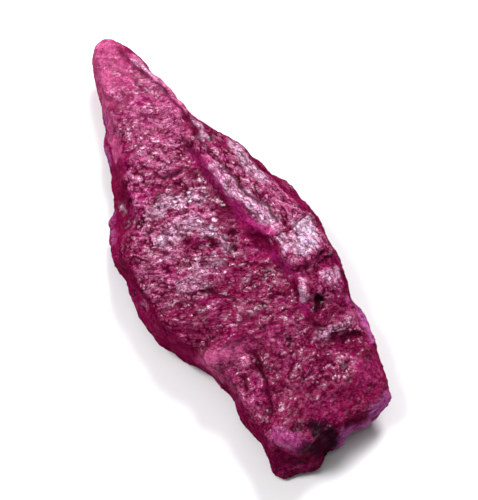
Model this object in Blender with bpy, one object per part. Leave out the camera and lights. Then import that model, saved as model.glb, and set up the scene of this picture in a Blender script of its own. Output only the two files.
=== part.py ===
"""Red beryl crystal: one rough, leaf-shaped stone that lies on its flat underside.

The stone is lofted through guide lines that run from its broken base end (-Y) to its
thin, rounded tip (+Y).  The loft is given an even mesh and is then worked over like a
carving: steps, grooves, raised slabs, hollows and lumps first, rough relief last.
Places and sizes are in millimetres; the finished mesh is written in metres, with the
origin at the middle of the stone's footprint.
"""

import bmesh
import bpy
import numpy as np
from mathutils import Vector, noise

MM = 0.001

# Mesh sizes.
SECTIONS = 90               # rings of the loft, base to tip
VOXEL = 0.44                # grain of the even mesh that is carved
TRIANGLES = 9400            # of the finished solid
FLAT_SNAP = 0.02            # points this close to the resting plane lie on it

# Rough relief: (wavelength, height, seed offset).  The top has a share of it.
ROUGHNESS = ((8.0, 0.95, 11.0), (3.6, 0.60, 47.0), (1.9, 0.28, 83.0))
TOP_SHARE = 0.42
TIP_CALM = 0.40             # share of all relief left at the worn tip

# Crinkles of the top: (run across them, run along them, height, seed offset).
CRINKLES = ((2.3, 6.0, 0.34, 5.0), (1.5, 3.4, 0.20, 29.0))
CRINKLE_TURN = -31.0        # degrees from the X axis to the crinkles' length

# How far carved lines stray from their paths, and over what distance they wander.
WANDER = 0.55
WANDER_RUN = 2.8

# Conchoidal chips broken out of the flanks: how many, their size, the stretch of each
# of their three axes, and their depth.
CHIPS = 46
CHIP_SIZE = (1.6, 3.8)
CHIP_STRETCH = (0.6, 1.4)
CHIP_DEPTH = (0.20, 0.55)
CHIP_STEEPNESS = 0.6        # chips lie where the skin's normal rises less than this
CHIP_SEED = 20

# Guide lines, base end to tip, as (x, y, z).  Going round a section they are the left
# edge, the four lines of the top's left terrace, the step, the raised right terrace,
# the right edge and the underside.
LEFT_EDGE = (
    (-10.2, -32.0, 0.9), (-10.0, -29.4, 1.0), (-9.5, -26.5, 1.6), (-8.6, -22.0, 2.5),
    (-8.5, -18.6, 2.5), (-10.2, -15.4, 3.0), (-12.9, -11.2, 3.0), (-13.9, -8.4, 3.0),
    (-13.9, -1.3, 3.0), (-13.1, 3.5, 3.5), (-12.2, 5.8, 4.0), (-9.5, 11.5, 4.0),
    (-7.2, 15.5, 4.0), (-6.0, 18.8, 4.0), (-4.1, 23.0, 4.1), (-2.2, 27.0, 4.5),
    (-1.2, 30.2, 5.0), (0.5, 32.1, 5.7))
LEFT_RIDGE = (
    (-8.2, -29.2, 9.4), (-8.3, -26.1, 9.2), (-8.4, -21.5, 8.8), (-8.6, -18.4, 9.0),
    (-9.9, -16.0, 9.3), (-10.7, -12.1, 9.0), (-12.3, -8.1, 9.3), (-12.4, -4.0, 9.6),
    (-12.1, 0.3, 9.6), (-11.5, 3.6, 9.5), (-11.0, 5.2, 9.4), (-9.5, 5.9, 9.6),
    (-7.5, 6.4, 10.0), (-6.8, 9.8, 10.0), (-4.9, 15.0, 9.6), (-3.0, 20.7, 9.0),
    (-1.9, 25.5, 8.3), (-0.6, 29.5, 8.0), (0.9, 31.8, 7.3))
FACE_LEFT = (
    (-5.4, -31.6, 9.6), (-6.6, -27.0, 9.7), (-7.0, -21.0, 9.6), (-6.8, -16.0, 10.3),
    (-8.4, -10.0, 10.1), (-8.6, -4.0, 10.4), (-8.0, 2.0, 10.4), (-5.0, 8.0, 10.5),
    (-3.2, 14.0, 10.2), (-1.6, 20.0, 9.6), (-0.6, 25.0, 8.8), (0.1, 29.0, 8.3), (1.2, 32.0, 7.4))
FACE_MIDDLE = (
    (-1.6, -32.1, 9.5), (-2.2, -28.0, 10.1), (-2.4, -22.0, 10.6), (-2.6, -16.0, 10.9),
    (-4.0, -10.0, 10.9), (-4.4, -4.0, 11.0), (-4.0, 2.0, 11.0), (-2.2, 8.0, 10.9),
    (-0.8, 14.0, 10.5), (0.2, 20.0, 9.9), (0.7, 25.0, 9.1), (1.1, 29.0, 8.4), (1.7, 32.1, 7.4))
STEP_FOOT = (
    (2.6, -32.0, 8.9), (4.5, -28.5, 9.6), (4.8, -25.3, 10.0), (4.2, -19.6, 10.5),
    (4.1, -15.4, 10.4), (4.8, -10.0, 10.2), (4.7, -5.2, 10.1), (3.3, -2.8, 10.1),
    (3.2, 0.6, 10.2), (2.7, 5.7, 10.4), (2.7, 10.1, 10.4), (3.1, 14.4, 10.1),
    (4.1, 18.6, 9.6), (3.9, 22.6, 9.1), (2.9, 26.6, 8.5), (2.2, 29.4, 8.0), (2.2, 32.0, 7.2))
STEP_BROW = (
    (4.9, -32.0, 8.6), (5.9, -28.9, 9.4), (6.1, -22.6, 10.5), (5.2, -17.9, 11.4),
    (5.3, -14.6, 11.9), (6.3, -11.9, 12.2), (6.0, -8.0, 12.7), (6.2, -4.6, 12.6),
    (6.0, -0.6, 12.3), (5.0, 2.7, 12.3), (4.4, 7.8, 12.1), (4.2, 12.2, 11.6),
    (4.8, 16.2, 11.0), (5.0, 20.3, 10.4), (4.2, 24.3, 9.8), (3.1, 28.8, 8.9), (2.5, 32.0, 7.3))
TERRACE_MIDDLE = (
    (6.6, -31.9, 8.2), (8.0, -28.0, 9.2), (8.6, -22.5, 10.1), (8.4, -18.0, 11.2),
    (8.6, -13.0, 11.9), (9.4, -8.0, 12.2), (9.0, -3.0, 11.9), (8.0, 2.0, 11.8),
    (7.0, 7.0, 11.6), (6.2, 12.0, 11.2), (5.9, 17.0, 10.6), (5.2, 21.0, 10.0),
    (4.5, 25.0, 9.3), (3.6, 29.0, 8.5), (2.8, 31.9, 7.2))
RIGHT_SHOULDER = (
    (8.4, -31.3, 7.4), (9.3, -28.6, 8.3), (10.1, -24.3, 9.0), (10.6, -20.5, 9.8),
    (10.7, -17.0, 10.2), (11.8, -13.5, 10.5), (12.3, -9.0, 10.7), (12.2, -5.0, 10.6),
    (11.4, -0.5, 10.3), (10.1, 3.0, 10.2), (9.6, 7.5, 10.1), (7.4, 12.0, 9.9),
    (6.3, 16.0, 9.6), (5.4, 20.0, 9.2), (4.8, 24.0, 8.8), (4.3, 28.0, 8.1), (3.1, 31.8, 6.9))
RIGHT_EDGE = (
    (9.5, -32.9, 4.6), (10.0, -30.4, 5.4), (10.8, -27.6, 6.2), (11.8, -24.3, 7.0),
    (12.3, -20.7, 7.0), (11.8, -18.0, 7.0), (12.6, -14.6, 7.0), (13.7, -12.2, 7.0),
    (13.9, -8.0, 7.0), (13.6, -4.4, 7.0), (12.7, 0.6, 7.0), (11.1, 4.2, 7.0),
    (10.7, 7.9, 7.0), (8.3, 12.1, 7.0), (6.3, 17.1, 7.0), (5.3, 22.5, 6.9),
    (5.0, 26.8, 6.8), (4.2, 29.5, 6.7), (3.2, 31.7, 6.2))
RIGHT_FOOT = (
    (7.0, -32.6, 2.4), (8.6, -26.0, 1.8), (8.8, -20.0, 1.3), (9.6, -14.0, 1.5),
    (10.6, -7.0, 1.9), (9.8, -1.0, 1.6), (8.2, 5.0, 1.5), (6.2, 11.0, 1.9),
    (4.8, 17.0, 2.5), (4.0, 23.0, 3.2), (3.5, 28.0, 3.9), (2.8, 31.8, 5.2))
BELLY_RIGHT = (
    (3.0, -32.9, 1.4), (4.6, -28.0, 0.0), (5.6, -20.0, -0.7), (6.0, -10.0, -0.7),
    (5.6, -2.0, -0.7), (3.8, 6.0, -0.2), (3.2, 14.0, 0.9), (3.0, 22.0, 2.2),
    (2.6, 28.0, 3.5), (2.3, 32.0, 5.0))
BELLY_LEFT = (
    (-5.6, -33.9, 0.6), (-5.6, -27.0, -0.3), (-5.4, -18.0, -0.5), (-7.2, -10.0, -0.8),
    (-7.8, -2.0, -0.7), (-5.2, 7.0, -0.3), (-2.8, 15.0, 0.9), (-0.8, 22.0, 2.2),
    (0.5, 28.0, 3.5), (1.6, 32.1, 5.0))
LEFT_FOOT = (
    (-8.8, -33.3, 0.3), (-8.6, -27.0, 0.4), (-7.4, -18.0, 0.9), (-10.2, -11.0, 1.1),
    (-11.6, -6.0, 1.5), (-11.8, 0.0, 1.3), (-10.6, 5.0, 1.6), (-7.8, 11.0, 1.9),
    (-5.4, 16.5, 2.4), (-3.0, 22.0, 3.1), (-1.4, 27.0, 3.7), (0.8, 32.0, 5.2))
GUIDES = (
    LEFT_EDGE, LEFT_RIDGE, FACE_LEFT, FACE_MIDDLE, STEP_FOOT, STEP_BROW, TERRACE_MIDDLE,
    RIGHT_SHOULDER, RIGHT_EDGE, RIGHT_FOOT, BELLY_RIGHT, BELLY_LEFT, LEFT_FOOT)

# Slabs that stand proud of the right terrace: (outline, rise, width of the edge).
SLABS = (
    (((9.4, -4.9), (11.5, -4.7), (12.4, -5.6), (12.6, -8.6), (11.2, -10.4), (8.0, -11.2),
      (6.6, -10.0), (6.0, -8.2), (6.4, -5.6), (7.9, -5.1)), 0.5, 1.0),
    (((7.4, -12.0), (11.4, -12.3), (12.2, -13.8), (10.6, -15.6), (8.4, -15.8), (6.8, -14.4)),
     0.25, 1.0),
)

# Grooves, cracks and hollows: (path, half width, depth).  A negative depth is a rib.
GROOVES = (
    # cracks round the raised slabs
    (((6.4, -4.8), (8.5, -5.1), (9.7, -4.6), (11.6, -4.5)), 0.8, 0.45),
    (((6.2, -11.4), (8.0, -11.7), (10.8, -11.4)), 1.3, 0.8),
    (((10.8, -11.4), (12.9, -12.2)), 1.6, 0.45),
    (((5.6, -15.4), (7.0, -16.4), (9.2, -16.6)), 1.1, 0.55),
    # raised rim along the brow of the step, and the crack behind it
    (((4.1, 13.0), (4.3, 7.4), (4.9, 3.4), (5.8, 0.4), (6.6, -2.8)), 1.1, -0.35),
    (((4.4, 20.4), (5.1, 15.2), (4.8, 9.8), (5.7, 5.4), (6.0, 1.9), (7.6, -1.1), (7.4, -3.6)),
     0.9, 0.45),
    # hollow where the right terrace ends
    (((3.6, -20.2), (5.0, -21.4), (6.9, -22.9), (9.4, -23.6)), 1.6, 0.8),
    # crack and short groove of the low strip beside the base
    (((-3.9, -15.5), (-4.6, -18.6), (-5.2, -22.0), (-6.2, -26.2)), 1.0, 0.35),
    (((-7.2, -17.5), (-7.5, -21.7)), 1.0, 0.3),
    # shade line above the hump
    (((-10.4, -12.9), (-8.7, -12.6), (-7.3, -12.1), (-4.0, -11.2)), 1.5, 0.4),
    # shallow waves of the broad face
    (((-8.6, -6.6), (-5.9, -7.5), (-3.0, -8.3)), 1.3, 0.35),
    (((-8.0, 10.4), (-4.6, 9.4), (-1.0, 9.9)), 1.5, 0.25),
    (((-6.0, 4.0), (-1.0, 3.1), (2.6, 3.8)), 1.4, -0.25),
    (((-1.0, 1.0), (-0.2, -0.7), (0.5, -3.4)), 1.2, -0.3),
    (((0.4, 4.6), (1.4, -1.0), (1.2, -7.0), (0.0, -11.6)), 2.2, 0.3),
    # pit near the tip and the groove that runs up to it
    (((-2.2, 22.9), (-0.9, 22.4)), 1.1, 0.35),
    (((3.2, 19.0), (2.9, 25.0), (1.7, 30.2)), 0.8, 0.3),
    # notch behind the jog of the left ridge
    (((-10.6, 8.6), (-8.9, 7.1), (-8.0, 10.6)), 1.1, 0.35),
)

# Small steps: (path, drop on its left-hand side, width of the step, reach of the drop).
LEDGES = (
    (((0.6, -3.0), (-0.9, -1.3), (-4.6, 0.1)), 0.4, 0.5, 3.0),
    (((-6.3, -26.4), (-5.2, -21.0), (-3.9, -15.6)), 0.6, 0.7, 5.0),
    (((9.6, -22.6), (7.6, -20.0), (5.2, -18.6), (4.2, -17.0)), 0.7, 0.8, 4.5),
    (((-3.6, -13.2), (-6.2, -13.6), (-9.6, -14.0)), -0.5, 0.8, 4.0),
    (((5.2, -28.6), (7.6, -27.0), (9.8, -25.4)), -0.4, 0.9, 4.0),
)

# Lumps: (middle, half size, height).  A negative height is a hollow.
LUMPS = (
    ((-8.2, -15.4, 9.8), (2.4, 2.4, 3.0), 0.7),
    ((-5.6, -14.2, 10.4), (2.6, 1.8, 3.0), 0.45),
    ((-6.6, -28.8, 9.6), (2.0, 1.7, 2.5), 0.55),
    ((6.0, -13.3, 12.0), (1.0, 1.6, 2.0), 0.5),
    ((2.9, -22.0, 10.5), (2.8, 1.7, 3.0), 0.4),
    ((2.3, -26.6, 9.8), (2.4, 2.0, 3.0), 0.3),
    ((-1.0, -30.6, 9.4), (2.2, 1.6, 2.5), -0.5),
    ((8.2, 1.6, 11.6), (1.6, 3.4, 3.0), 0.35),
    ((4.6, -4.4, 10.6), (1.3, 1.8, 2.0), -0.4),
    # foot and middle of the base end wall
    ((-4.6, -32.8, 1.6), (3.4, 2.0, 2.2), 0.9),
    ((5.0, -32.4, 4.2), (3.2, 2.0, 2.6), 0.6),
    ((-1.4, -32.6, 3.0), (2.0, 2.0, 3.4), -0.8),
    # chips out of the right and left flanks
    ((12.6, 3.4, 6.0), (2.6, 3.4, 3.2), -0.7),
    ((11.8, -18.4, 5.0), (2.4, 3.0, 3.4), -0.6),
    ((7.4, 15.4, 5.0), (2.4, 4.2, 2.4), -0.5),
    ((-13.0, -2.6, 6.6), (2.2, 3.4, 2.4), -0.3),
    ((-9.2, -22.8, 5.2), (2.2, 3.6, 2.6), -0.5),
    ((-7.8, 14.0, 6.8), (2.2, 3.2, 2.2), -0.4),
    # hollows of the underside
    ((-2.0, 18.0, 0.9), (3.2, 4.2, 2.0), -0.5),
    ((6.8, -20.6, 0.0), (3.0, 4.6, 2.0), -0.7),
    ((-9.4, -5.6, 0.2), (2.6, 5.2, 2.0), -0.6),
    ((-2.6, -28.6, 0.0), (4.4, 2.4, 2.0), -0.6),
)


def clear_scene():
    """Take away whatever the scene starts with."""
    for thing in list(bpy.data.objects):
        bpy.data.objects.remove(thing, do_unlink=True)


def guide_points(guide, shares):
    """Places on a guide line at shares 0 (base) to 1 (tip) of its run along Y."""
    x, y, z = np.array(guide).T
    along = y[0] + (y[-1] - y[0]) * shares
    return np.column_stack((np.interp(along, y, x), along, np.interp(along, y, z)))


def lofted_mesh(name):
    """The bare form: a ring of guide points per section, bridged and capped."""
    shares = np.linspace(0.0, 1.0, SECTIONS)
    rings = np.stack([guide_points(guide, shares) for guide in GUIDES], axis=1)
    bm = bmesh.new()
    last_edges = None
    for ring in rings:
        verts = [bm.verts.new(place * MM) for place in ring]
        edges = [bm.edges.new((verts[i - 1], verts[i])) for i in range(len(verts))]
        if last_edges is None:
            bmesh.ops.contextual_create(bm, geom=edges)
        else:
            bmesh.ops.bridge_loops(bm, edges=last_edges + edges)
        last_edges = edges
    bmesh.ops.contextual_create(bm, geom=last_edges)
    bmesh.ops.recalc_face_normals(bm, faces=bm.faces)
    mesh = bpy.data.meshes.new(name)
    bm.to_mesh(mesh)
    bm.free()
    return mesh


def with_modifier(stone, kind, **settings):
    """Give the stone the mesh that one modifier makes of it."""
    modifier = stone.modifiers.new(kind.title(), kind)
    for key, value in settings.items():
        setattr(modifier, key, value)
    graph = bpy.context.evaluated_depsgraph_get()
    mesh = bpy.data.meshes.new_from_object(stone.evaluated_get(graph))
    stone.modifiers.remove(modifier)
    stone.data = mesh


def soften(stone, passes):
    """Take the voxel stairs off the even mesh."""
    bm = bmesh.new()
    bm.from_mesh(stone.data)
    for _ in range(passes):
        bmesh.ops.smooth_vert(
            bm, verts=bm.verts, factor=0.5, use_axis_x=True, use_axis_y=True, use_axis_z=True)
    bm.to_mesh(stone.data)
    bm.free()


def bump(distance):
    """Rounded bell of height 1 at distance 0, down to 0 at distance 1."""
    return np.clip(1.0 - distance ** 2, 0.0, None) ** 2


def ramp(share):
    """Smooth rise from 0 to 1 as share goes from 0 to 1."""
    share = np.clip(share, 0.0, 1.0)
    return share * share * (3.0 - 2.0 * share)


def from_path(points, path):
    """Plan distance to a path, the side (+1 left, -1 right) and the run past its ends."""
    nearest = np.full(len(points), np.inf)
    side = np.ones(len(points))
    past = np.zeros(len(points))
    for start, end in zip(path[:-1], path[1:]):
        run = np.subtract(end, start)
        offset = points[:, :2] - start
        away = offset - np.clip(offset @ run / (run @ run), 0.0, 1.0)[:, None] * run
        distance = np.hypot(away[:, 0], away[:, 1])
        closer = distance < nearest
        nearest[closer] = distance[closer]
        side[closer] = np.sign(run[0] * offset[:, 1] - run[1] * offset[:, 0])[closer]
        past[closer] = np.abs(away @ run / np.hypot(*run))[closer]
    return nearest, side, past


def slab_height(points, outline, rise, edge):
    """Height of a raised slab: full inside its outline, falling off over its edge."""
    distance, _, _ = from_path(points, outline + outline[:1])
    inside = np.zeros(len(points), dtype=bool)
    for (x0, y0), (x1, y1) in zip(outline, outline[1:] + outline[:1]):
        spans = (y0 > points[:, 1]) != (y1 > points[:, 1])
        crossing = x0 + (points[:, 1] - y0) * (x1 - x0) / ((y1 - y0) or 1.0)
        inside ^= spans & (points[:, 0] < crossing)
    return rise * np.where(inside, ramp(0.5 + distance / edge), ramp(0.5 - distance / edge))


def groove_height(points, path, half_width, depth):
    """Height of a groove (or, with a negative depth, a rib) along a path."""
    distance, _, _ = from_path(points, path)
    return -depth * bump(distance / half_width)


def ledge_height(points, path, drop, width, reach):
    """Height of a small step: the path's left side falls away, then levels out."""
    distance, side, past = from_path(points, path)
    low = np.where(side > 0.0, ramp(distance / width) * (1.0 - ramp(distance / reach)), 0.0)
    return -drop * low * (1.0 - ramp(past / width))


def lump_height(points, middle, half_size, height):
    """Height of a lump (or, with a negative height, a hollow) about a place."""
    distance = np.linalg.norm((points - middle) / half_size, axis=1)
    return height * bump(distance)


def noise_at(places):
    """Smooth noise, about -1 to 1, at each place."""
    return np.array([noise.noise(Vector(place)) for place in places])


def crinkle_height(points):
    """Height of the long, low crinkles that cross the upper face."""
    turn = np.radians(CRINKLE_TURN)
    along = points[:, 0] * np.cos(turn) + points[:, 1] * np.sin(turn)
    across = points[:, 1] * np.cos(turn) - points[:, 0] * np.sin(turn)
    height = np.zeros(len(points))
    for run_across, run_along, rise, seed in CRINKLES:
        layer = np.full(len(points), seed)
        places = np.column_stack((along / run_along, across / run_across, layer))
        height += rise * noise_at(places)
    return height


def top_relief(points):
    """Steps, slabs and grooves of the upper face, along lines that wander a little."""
    stray = [noise_at(points / WANDER_RUN + seed) for seed in (3.0, 61.0)]
    points = points + WANDER * np.column_stack((*stray, np.zeros(len(points))))
    height = crinkle_height(points)
    for outline, rise, edge in SLABS:
        height += slab_height(points, outline, rise, edge)
    for path, half_width, depth in GROOVES:
        height += groove_height(points, path, half_width, depth)
    for path, drop, width, reach in LEDGES:
        height += ledge_height(points, path, drop, width, reach)
    return height


def skin_relief(points):
    """Rough relief of the whole skin."""
    height = np.zeros(len(points))
    for wavelength, depth, seed in ROUGHNESS:
        height += depth * noise_at(points / wavelength + seed)
    return height


def chip_height(points, normals):
    """Shallow scoops at random places on the flanks."""
    draw = np.random.default_rng(CHIP_SEED)
    flank = np.flatnonzero(np.abs(normals[:, 2]) < CHIP_STEEPNESS)
    height = np.zeros(len(points))
    for middle in points[draw.choice(flank, CHIPS, replace=False)]:
        half_size = draw.uniform(*CHIP_SIZE) * draw.uniform(*CHIP_STRETCH, 3)
        height += lump_height(points, middle, half_size, -draw.uniform(*CHIP_DEPTH))
    return height


def carve(stone):
    """Move the skin in or out along its normals by the relief, and flatten the underside."""
    mesh = stone.data
    count = len(mesh.vertices)
    points = np.empty(count * 3)
    normals = np.empty(count * 3)
    mesh.vertices.foreach_get("co", points)
    mesh.vertices.foreach_get("normal", normals)
    points = points.reshape(-1, 3) / MM
    normals = normals.reshape(-1, 3)
    facing_up = ramp((normals[:, 2] - 0.05) / 0.4)
    calm = TIP_CALM + (1.0 - TIP_CALM) * ramp((31.0 - points[:, 1]) / 15.0)
    height = top_relief(points) * facing_up * calm
    height += skin_relief(points) * (1.0 + (TOP_SHARE - 1.0) * facing_up) * calm
    height += chip_height(points, normals) * calm
    for middle, half_size, rise in LUMPS:
        height += lump_height(points, middle, half_size, rise)
    points = points + normals * height[:, None]
    points[:, 2] = np.maximum(points[:, 2], 0.0)
    mesh.vertices.foreach_set("co", (points * MM).ravel())
    mesh.update()


def settle(stone):
    """Put the resting facet exactly on z = 0 and the footprint's middle on the origin."""
    mesh = stone.data
    points = np.empty(len(mesh.vertices) * 3)
    mesh.vertices.foreach_get("co", points)
    points = points.reshape(-1, 3)
    middle = (points.min(axis=0) + points.max(axis=0)) / 2.0
    points[:, :2] -= middle[:2]
    points[points[:, 2] < FLAT_SNAP * MM, 2] = 0.0
    mesh.vertices.foreach_set("co", points.ravel())
    mesh.update()


def beryl_material():
    """Deep raspberry stone with a greasy, frosted skin."""
    material = bpy.data.materials.new("raspberry beryl")
    material.use_nodes = True
    shader = material.node_tree.nodes["Principled BSDF"]
    shader.inputs["Base Color"].default_value = (0.25, 0.015, 0.08, 1.0)
    shader.inputs["Roughness"].default_value = 0.35
    shader.inputs["Metallic"].default_value = 0.0
    shader.inputs["IOR"].default_value = 1.58
    return material


def make_crystal():
    """The whole stone, one solid."""
    stone = bpy.data.objects.new("crystal", lofted_mesh("crystal"))
    bpy.context.scene.collection.objects.link(stone)
    with_modifier(stone, "REMESH", mode="VOXEL", voxel_size=VOXEL * MM)
    soften(stone, 3)
    carve(stone)
    triangles = 2.0 * len(stone.data.polygons)
    with_modifier(stone, "DECIMATE", ratio=TRIANGLES / triangles, use_collapse_triangulate=True)
    settle(stone)
    stone.data.name = "crystal"
    stone.data.shade_smooth()
    stone.data.materials.append(beryl_material())
    return stone


clear_scene()
make_crystal()
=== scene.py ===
"""Dresses the red beryl crystal: its crinkled skin, its colours and the studio it is seen in.

Places on the stone are millimetres in its own frame: origin under the middle of the stone on
the surface it lies on, +X towards the raised terrace, +Y towards the thin tip, +Z up.
"""

import logging
import math
from collections.abc import Iterable, Sequence
from dataclasses import dataclass, field
from enum import Enum

import bmesh
import bpy
import numpy as np
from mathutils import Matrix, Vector, noise


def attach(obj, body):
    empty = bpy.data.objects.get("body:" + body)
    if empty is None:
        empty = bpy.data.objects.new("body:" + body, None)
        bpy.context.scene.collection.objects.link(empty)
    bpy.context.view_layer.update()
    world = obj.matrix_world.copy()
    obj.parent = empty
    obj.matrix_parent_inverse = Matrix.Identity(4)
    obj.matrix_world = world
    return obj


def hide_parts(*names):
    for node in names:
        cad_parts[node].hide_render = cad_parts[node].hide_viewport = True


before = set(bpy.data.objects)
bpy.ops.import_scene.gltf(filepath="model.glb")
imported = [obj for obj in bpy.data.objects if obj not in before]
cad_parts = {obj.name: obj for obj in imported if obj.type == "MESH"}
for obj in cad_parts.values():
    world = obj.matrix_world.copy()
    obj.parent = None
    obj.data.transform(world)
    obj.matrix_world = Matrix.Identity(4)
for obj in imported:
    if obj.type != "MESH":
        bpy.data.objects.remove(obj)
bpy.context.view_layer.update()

MM = 0.001
log = logging.getLogger("beryl")

Field = np.ndarray
Colour = tuple[float, float, float]
Path = tuple[tuple[float, float], ...]
Place = tuple[float, float, float]
Socket = bpy.types.NodeSocket
Tree = bpy.types.NodeTree

# The draws that tip the plates: a seed, without which they follow the clock, and how far apart
# neighbouring plates are drawn.
PLATE_SEED = 7
TIP_STEP = 5.3
CLEAR_STEP = 3.7


# ---------------------------------------------------------------- shapes of single features

def ramp(share: Field) -> Field:
    """Smooth rise from 0 to 1 as share goes from 0 to 1."""
    share = np.clip(share, 0.0, 1.0)
    return share * share * (3.0 - 2.0 * share)


def above(least: float, share: Field) -> Field:
    """Least where share is 0, up to 1 where share is 1."""
    return least + (1.0 - least) * share


def bell(distance: Field) -> Field:
    """Rounded bell of height 1 at distance 0, down to 0 at distance 1."""
    return np.clip(1.0 - distance ** 2, 0.0, None) ** 2


@dataclass(frozen=True)
class Rise:
    """A smooth change from 0 to 1 as a quantity runs on from start. A negative run goes down."""

    start: float
    run: float

    def share(self, values: Field) -> Field:
        """How far the change has come at each value."""
        return ramp((values - self.start) / self.run)


def from_path(points: Field, path: Path) -> tuple[Field, Field, Field]:
    """Plan distance to a path.

    Args:
        points: Places, one row each, in millimetres.
        path: Corners of the path in the XY plane.

    Returns:
        The distance, the side (+1 left of the path's run, -1 right) and the run past its ends.
    """
    nearest = np.full(len(points), np.inf)
    side = np.ones(len(points))
    past = np.zeros(len(points))
    for start, end in zip(path[:-1], path[1:]):
        run = np.subtract(end, start)
        offset = points[:, :2] - start
        away = offset - np.clip(offset @ run / (run @ run), 0.0, 1.0)[:, None] * run
        distance = np.hypot(away[:, 0], away[:, 1])
        closer = distance < nearest
        nearest[closer] = distance[closer]
        side[closer] = np.sign(run[0] * offset[:, 1] - run[1] * offset[:, 0])[closer]
        past[closer] = np.abs(away @ run / np.hypot(*run))[closer]
    return nearest, side, past


def noise_at(places: Field) -> Field:
    """Smooth noise, about -1 to 1, at each place."""
    return np.array([noise.noise(Vector(place)) for place in places])


def wandering(points: Field, run: float, seeds: Place) -> Field:
    """Smooth random offset of each place, about -1 to 1 each way, that changes over run."""
    return np.column_stack([noise_at(points / run + seed) for seed in seeds])


def tipped_plates(places: Field) -> tuple[Field, Field, Field]:
    """Small plates, one a cell of the places, each tipped its own way.

    Args:
        places: Places, one row each, counted in cells.

    Returns:
        The height of the plates, how far each place is inside its own plate, and how clear the
        plate is, from about -1 to 1.
    """
    noise.seed_set(PLATE_SEED)
    rows = []
    for place in map(Vector, places):
        distances, middles = noise.voronoi(place)
        tip = (place - middles[0]).dot(noise.noise_vector(middles[0] * TIP_STEP)) * 2.0
        rows.append((tip, distances[1] - distances[0], noise.noise(middles[0] * CLEAR_STEP) * 2.0))
    return tuple(np.array(rows).reshape(-1, 3).T)


@dataclass(frozen=True)
class Furrow:
    """A crack or groove along a path, with painted shade at its bottom. A negative depth makes it a rib.
    """

    path: Path
    half_width: float
    depth: float
    dark: float = 0.9               # how dark the painted shade at its bottom is, from 0 to 1

    def height(self, points: Field) -> Field:
        """Height that the furrow adds at each place."""
        distance, _, _ = from_path(points, self.path)
        return -self.depth * bell(distance / self.half_width)

    def seam(self, points: Field) -> Field:
        """How strong the painted shade in the furrow is at each place."""
        distance, _, _ = from_path(points, self.path)
        return self.dark * bell(distance / self.half_width)


@dataclass(frozen=True)
class Ledge:
    """A small step: the left side of the path falls away, then levels out."""

    path: Path
    drop: float
    width: float                    # of the slope
    reach: float                    # from the path to where the skin is level again

    def height(self, points: Field) -> Field:
        """Height that the ledge adds.

        Args:
            points: Places on the skin, in millimetres.

        Returns:
            The height at each place.
        """
        distance, side, past = from_path(points, self.path)
        low = np.where(side > 0.0, ramp(distance / self.width), 0.0)
        return -self.drop * low * (1.0 - ramp(distance / self.reach)) * (1.0 - ramp(past / self.width))


@dataclass(frozen=True)
class Lump:
    """A rounded lump. A negative rise makes it a hollow."""

    middle: Place
    half_size: Place
    rise: float

    def height(self, points: Field) -> Field:
        """Height that the lump adds at each place."""
        return self.rise * bell(np.linalg.norm((points - self.middle) / self.half_size, axis=1))


@dataclass(frozen=True)
class Crinkles:
    """Fine wavy folds, longer one way than the other, broken up by small tilted plates."""

    turn: float                     # degrees from the X axis to the folds' length
    along: float                    # length of a fold
    across: float                   # width of a fold
    rise: float
    plates: float                   # how far the plates tip, as a share of the rise
    seed: float
    waves: float = 0.8              # height of the folds, as a share of the rise
    ripples: float = 0.5            # height of the finer folds on them
    creases: float = 0.8            # depth of the creases between plates
    crease_width: float = 0.34      # as a share of a fold's width

    def folds(self, points: Field) -> tuple[Field, Field, Field]:
        """Lie of the folds.

        Args:
            points: Places on the skin, in millimetres.

        Returns:
            The lie, about -1 in the hollows and 1 on the crests, how deep the creases are, and
            how clear the skin is.
        """
        turn = math.radians(self.turn)
        axes = np.array([[math.cos(turn), math.sin(turn), 0.0],
                         [-math.sin(turn), math.cos(turn), 0.0],
                         [0.0, 0.0, 1.0]])
        places = points @ axes.T / (self.along, self.across, self.across) + self.seed
        waves = self.waves * noise_at(places) + self.ripples * noise_at(places * 2.1 + 19.0)
        tips, inside, clear = tipped_plates(places)
        broken = ramp(0.5 + 1.8 * noise_at(places * 0.7 + 31.0))
        crease = ramp(1.0 - inside / self.crease_width) * broken
        return waves + self.plates * tips - self.creases * crease, crease, clear


# ---------------------------------------------------------------- colours of the stone, with its painted light and shade

class Tint(Enum):
    """What lies over the crimson body of the stone, painted light and shade among it. Each is a mask on
    its skin.
    """

    SILK = "silk"                   # smooth crimson skin
    FROST_AND_SHEEN = "frost_and_sheen"                 # frosted pale crests, with painted sheen on the upward faces
    MIST = "painted_highlight"                   # near-white painted highlight
    WINE_SHADE = "wine"                   # darker red painted shade
    PALE_LIGHT = "pale"                   # pink painted light: the thin tip's glow and the lit brow, ridges and blocks
    # lilac painted reflection on the rims
    LILAC_REFLECTION = "lilac"
    GLOW = "glow"                   # magenta
    INK = "ink"                     # near-black
    CALM = "calm"                   # no colour: skin without the fine crinkles


@dataclass(frozen=True)
class Stain:
    """A soft-edged patch along a path, at full strength over its inner third."""

    path: Path
    half_width: float
    strength: float
    lowest: float = -9.0            # height below which the stain fades away
    fade: float = 2.0               # depth over which it does

    def cover(self, points: Field) -> Field:
        """How much the stain covers.

        Args:
            points: Places on the skin, in millimetres.

        Returns:
            Share of each place that it covers.
        """
        distance, _, _ = from_path(points, self.path)
        high = ramp((points[:, 2] - self.lowest) / self.fade + 1.0)
        return self.strength * ramp(1.5 - 1.5 * distance / self.half_width) * high


# Where the step's brow and the valley at its foot run.
BROW = ((4.4, 11.9), (4.7, 9.2), (4.9, 7.0), (5.2, 4.8), (5.4, 3.2), (6.2, 1.6), (6.6, 0.2),
        (7.0, -1.5), (7.4, -3.2))
VALLEY = ((3.0, 11.9), (3.1, 8.7), (3.2, 5.2), (3.6, 2.2), (3.6, -0.9), (3.8, -2.6), (5.0, -4.7),
          (5.1, -8.0), (4.9, -11.5), (4.6, -15.0), (4.9, -17.6))
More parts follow.
